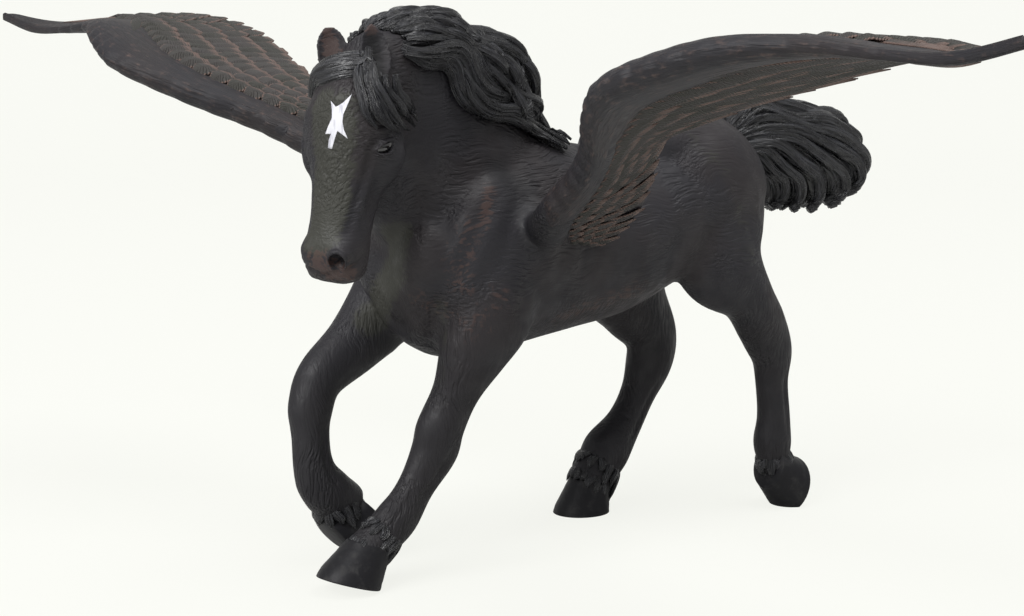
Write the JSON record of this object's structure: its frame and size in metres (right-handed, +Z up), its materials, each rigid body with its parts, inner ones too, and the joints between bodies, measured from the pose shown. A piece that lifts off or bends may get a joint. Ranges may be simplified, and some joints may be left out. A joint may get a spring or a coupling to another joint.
{
  "type": "winged horse figurine",
  "caption": "Moulded figurine of a trotting winged horse with wavy mane and tail, spread feathered wings and a raised foreleg, standing on its other hooves.",
  "frame": {"origin": "middle of the figure's outline seen from above, on the ground that its hooves stand on", "axes": "the horse faces -Y, its left side is +X, up is +Z"},
  "size_m": [0.2898, 0.1503, 0.1076],
  "materials": {
    "vinyl": "solid soft plastic, painted matt charcoal black with brown dry-brushed feathers, glossier mane and tail, and a white star on the forehead"
  },
  "bodies": {
    "root": {"winged_horse": "vinyl"}
  },
  "joints": []
}
